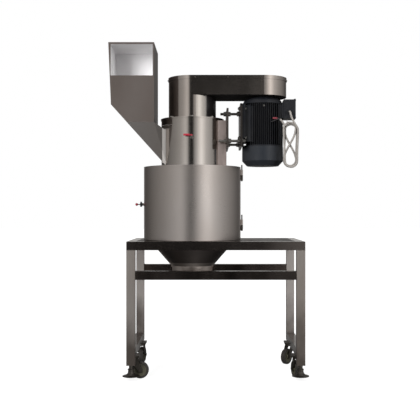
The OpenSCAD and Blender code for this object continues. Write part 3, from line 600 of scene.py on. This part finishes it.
def twine_tie():
    """Two wraps of thin twine round the upper folds, with twisted ends."""
    angle = math.radians(112)
    turns, steps = 2, 24
    half_depth, half_width, spread = 21 * MM, 10.5 * MM, 7 * MM
    forward = Vector((0, -1, 0))
    out = Vector((math.cos(angle), 0, math.sin(angle)))
    along = Vector((-out.z, 0, out.x))
    centre = Vector((501, -131.5, 1484)) * MM + out * FOLD_RADIUS * MM
    wraps = []
    for k in range(turns * steps + 1):
        a = 2 * math.pi * k / steps
        wraps.append(centre - forward * half_depth * math.cos(a) + out * half_width * math.sin(a)
                     + along * (k / (turns * steps) - 0.5) * spread)
    shape = Shape()
    shape.tube(wraps, 1.5 * MM, 8)
    for lean in (-1, 1):
        shape.tube([centre + forward * (20 + 1.2 * math.sin(k)) * MM + out * (8 + 3.2 * k) * MM
                    + along * lean * 1.5 * k * MM for k in range(5)], 1.4 * MM, 8)
    return shape


cord_cores = new_piece("cord_cores", stripped_cores().mesh("cord_cores"), "machine",
                       [dark_core])
bare_tip = new_piece("bare_tip", twisted_tip().mesh("bare_tip"), "machine", [bare_steel])
core_sleeve = new_piece("core_sleeve", sleeve().mesh("core_sleeve"), "machine",
                        [sleeve_red])
cord_tie = new_piece("cord_tie", twine_tie().mesh("cord_tie"), "machine", [sheath])

# ---------------------------------------------------------------- small pieces

TUBE_SIDE = 50 * MM
stand_low, stand_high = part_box("top_rails")
deck_top = stand_high.z


def rounded_square(half, corner, steps=5):
    """Outline of a square with rounded corners, round its centre."""
    outline = []
    for cu, cv, start in ((1, 1, 0), (-1, 1, 90), (-1, -1, 180), (1, -1, 270)):
        for k in range(steps + 1):
            a = math.radians(start + 90 * k / steps)
            outline.append((cu * (half - corner) + corner * math.cos(a),
                            cv * (half - corner) + corner * math.sin(a)))
    return outline


def rail_caps():
    """Steel caps in the ends of the long top rails, a little inside the tube."""
    half, corner = 21.9, 2.5
    shape = Shape()
    for side, x in ((-1, stand_low.x), (1, stand_high.x)):
        for y in (stand_low.y + TUBE_SIDE / 2, stand_high.y - TUBE_SIDE / 2):
            centre = Vector((x, y, deck_top - TUBE_SIDE / 2))
            rings = []
            for inset, depth in ((0, -3), (0, -0.9), (0.4, -0.4), (1.2, -0.2)):
                outline = rounded_square((half - inset) * MM, (corner - inset * 0.5) * MM)
                rings.append([centre + Vector((side * depth * MM, u * side, v)) for u, v in outline])
            shape.loft(rings)
    return shape


CHAMBER_BEAD_RADIUS = 2.0 * MM
STAND_BEAD_RADIUS = 1.8 * MM
BEAD_RIPPLE = 3.2 * MM
# How far a bead's centre lies inside the faces that it joins
BEAD_SINK = 0.2 * MM


def bead(shape, points, radius=STAND_BEAD_RADIUS):
    """A weld bead: a tube along a seam whose radius rises and falls with each ripple."""
    dense = []
    for a, b in zip(points, points[1:]):
        count = max(2, int((b - a).length / (0.25 * BEAD_RIPPLE)))
        dense += [a.lerp(b, k / count) for k in range(count)]
    dense.append(points[-1])
    shape.tube(dense, lambda s: radius * (0.86 + 0.14 * math.cos(2 * math.pi * s / BEAD_RIPPLE)), 8)


def chamber_seam(shape):
    """The seam round the feed chamber's foot, a little out from its wall and up from the plate."""
    outward, upward, steps = 0.8 * MM, 0.6 * MM, 96
    low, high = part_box("feed_chamber")
    radius = (high.x - low.x) / 2 + outward
    centre = middle_of("feed_chamber")
    centre.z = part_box("drum_top_plate")[1].z + upward
    line = [centre + radius * Vector((math.cos(a), math.sin(a), 0))
            for a in (2 * math.pi * k / steps for k in range(steps + 1))]
    bead(shape, line, CHAMBER_BEAD_RADIUS)


def stand_seams(shape):
    """The seams between the stand's legs and its rails."""
    rail_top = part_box("lower_rails")[1].z
    rail_bottom = rail_top - TUBE_SIDE
    for x in (stand_low.x + TUBE_SIDE, stand_high.x - TUBE_SIDE):
        for y in (stand_low.y, stand_high.y):
            inward = 1 if y < 0 else -1
            for z in (rail_top, rail_bottom):
                bead(shape, [Vector((x, y, z)), Vector((x, y + inward * TUBE_SIDE, z))])
            sunk = y + inward * BEAD_SINK
            bead(shape, [Vector((x, sunk, rail_bottom)), Vector((x, sunk, rail_top))])
    for x in (stand_low.x, stand_high.x - TUBE_SIDE):
        for y in (stand_low.y + BEAD_SINK, stand_high.y - BEAD_SINK):
            bead(shape, [Vector((x, y, deck_top - TUBE_SIDE)),
                         Vector((x + TUBE_SIDE, y, deck_top - TUBE_SIDE))])


welds = Shape()
chamber_seam(welds)
stand_seams(welds)
new_piece("rail_end_caps", rail_caps().mesh("rail_end_caps"), "machine",
          [leg_steel])
new_piece("weld_beads", welds.mesh("weld_beads"), "machine", [weld_steel])


EARTH_FORWARD, EARTH_HEIGHT = 108 * MM, 1631 * MM


def earth_part(profile):
    """A profile in millimetres turned about the line forward from the motor's earth point."""
    motor = middle_of("fan_cowl")
    shape = Shape()
    shape.turned([(r * MM, h * MM) for r, h in profile],
                 (motor.x, motor.y - EARTH_FORWARD, EARTH_HEIGHT), (0, -1, 0), 24)
    return shape


# Earth screw on a boss at the front of the motor's housing
earth_boss = earth_part(((8, 0), (8, 14), (7, 15.5), (2, 15.6)))
earth_screw = earth_part(((6.8, 15.7), (6.8, 16.9), (5.2, 17), (5.2, 20.5), (4.4, 21.2), (0.5, 21.2)))
new_piece("earth_boss", earth_boss.mesh("earth_boss"), "machine", [motor_paint])
new_piece("earth_screw", earth_screw.mesh("earth_screw"), "machine", [zinc])

# ---------------------------------------------------------------- studio

world = bpy.data.worlds.new("studio")
bpy.context.scene.world = world
world.use_nodes = True
room_tree = world.node_tree
room_tree.nodes.clear()

# Brightness round the room by bearing in degrees, from the side that the door faces
BEARINGS = ((-180, 0.50), (-163, 0.42), (-150, 0.06), (-122, 0.11), (-91, 0.24), (-66, 0.33),
            (-44, 0.45), (-24, 0.74), (-15, 0.50), (-11, 0.05), (-2, 0.02), (4, 0.03), (8, 0.32),
            (15, 0.52), (34, 1.30), (54, 0.66), (77, 0.42), (104, 0.26), (125, 0.14), (147, 0.06),
            (163, 0.42), (180, 0.50))
# Brightness from straight down at 0 to straight up at 1: dark towards the floor, level at eye height
HEIGHTS = ((0.0, 0.30), (0.30, 0.30), (0.42, 0.38), (0.465, 1.0), (0.60, 1.0), (0.75, 0.7),
           (1.0, 0.6))
WARM = (1, 0.985, 0.96)
NEUTRAL = (1, 1, 1)


def room_node(kind, *sources, **settings):
    """A node of the world, with its first inputs linked to the sources."""
    node = add_node(room_tree, kind, **settings)
    for socket, source in zip(node.inputs, sources):
        room_tree.links.new(source, socket)
    return node


def room_range(source, low, high, to_high=1.0):
    """A value from low to high mapped onto 0 to to_high."""
    node = room_node("ShaderNodeMapRange", source)
    for key, value in (("From Min", low), ("From Max", high), ("To Max", to_high)):
        node.inputs[key].default_value = value
    return node.outputs["Result"]


def room_ramp(source, levels, tint):
    """Brightness read off a list of positions and levels."""
    node = room_node("ShaderNodeValToRGB", source)
    stops = node.color_ramp.elements
    while len(stops) > 1:
        stops.remove(stops[0])
    for i, (position, level) in enumerate(levels):
        stop = stops[0] if i == 0 else stops.new(position)
        stop.position = position
        stop.color = (*(level * share for share in tint), 1)
    return node.outputs["Color"]


def room_mix(blend, a, b):
    node = room_node("ShaderNodeMix", data_type="RGBA", blend_type=blend)
    node.inputs[0].default_value = 1
    room_tree.links.new(a, node.inputs[6])
    room_tree.links.new(b, node.inputs[7])
    return node.outputs[2]


def room_light():
    """The room that the metals reflect, with a soft ceiling."""
    split = room_node("ShaderNodeSeparateXYZ", room_node("ShaderNodeTexCoord").outputs["Generated"])
    back = room_node("ShaderNodeMath", split.outputs["Y"], operation="MULTIPLY")
    back.inputs[1].default_value = -1
    bearing = room_node("ShaderNodeMath", split.outputs["X"], back.outputs[0], operation="ARCTAN2")
    turn = room_range(bearing.outputs[0], -math.pi, math.pi)
    around = room_ramp(turn, [((degrees + 180) / 360, level) for degrees, level in BEARINGS], WARM)
    rise = room_ramp(room_range(split.outputs["Z"], -1, 1), HEIGHTS, NEUTRAL)
    ceiling = room_range(split.outputs["Z"], 0.75, 0.95, 0.5)
    return room_mix("ADD", room_mix("MULTIPLY", around, rise), ceiling)


studio = room_node("ShaderNodeBackground", room_light())
backdrop = room_node("ShaderNodeBackground")
backdrop.inputs["Color"].default_value = (1, 1, 1, 1)
seen_by_camera = room_node("ShaderNodeLightPath").outputs["Is Camera Ray"]
choose = room_node("ShaderNodeMixShader", seen_by_camera, studio.outputs[0], backdrop.outputs[0])
room_node("ShaderNodeOutputWorld", choose.outputs[0])

FLOOR_HALF = 40


def floor_finish():
    """A pale floor that glows white far off, and a little less near the machine."""
    dim, full, near, far = 0.87, 1.0, 0.8, 3.0
    pale = Nodes("pale_floor")
    pale.set(Base_Color=(0.30, 0.30, 0.30, 1), Roughness=0.9, Emission_Color=(1, 1, 1, 1))
    from_middle = pale.add("ShaderNodeVectorMath", operation="LENGTH")
    pale.link(pale.position, from_middle.inputs[0])
    pale.feed("Emission Strength", pale.spread(from_middle.outputs["Value"], dim, full, near, far))
    return pale.material


floor_data = bpy.data.meshes.new("floor")
floor_data.from_pydata([(-FLOOR_HALF, -FLOOR_HALF, 0), (FLOOR_HALF, -FLOOR_HALF, 0),
                        (FLOOR_HALF, FLOOR_HALF, 0), (-FLOOR_HALF, FLOOR_HALF, 0)],
                       [], [(0, 1, 2, 3)])
floor_data.materials.append(floor_finish())
floor = bpy.data.objects.new("floor", floor_data)
bpy.context.scene.collection.objects.link(floor)
floor.visible_glossy = False
floor.visible_diffuse = False


def softbox(name, place, aim, size, watts):
    """A rectangular lamp that lights surfaces but doesn't show in their reflections."""
    light = bpy.data.lights.new(name, "AREA")
    light.shape = "RECTANGLE"
    light.size, light.size_y = size
    light.energy = watts
    lamp = bpy.data.objects.new(name, light)
    lamp.location = place
    lamp.visible_glossy = False
    lamp.rotation_euler = (Vector(aim) - Vector(place)).to_track_quat("-Z", "Y").to_euler()
    bpy.context.scene.collection.objects.link(lamp)


softbox("key", (-2.2, -4.2, 2.5), (0, 0, 1.5), (1.6, 1.6), 270)
softbox("fill", (3.0, -3.4, 2.2), (0.2, 0, 1.2), (1.0, 2.4), 80)
softbox("hopper_fill", (-1.0, -1.9, 1.3), (-0.45, 0.0, 1.95), (0.5, 0.5), 6)
softbox("top", (0, 0.3, 4.2), (0, 0, 1.0), (2.5, 2.5), 70)

bpy.context.scene.view_settings.view_transform = "Standard"
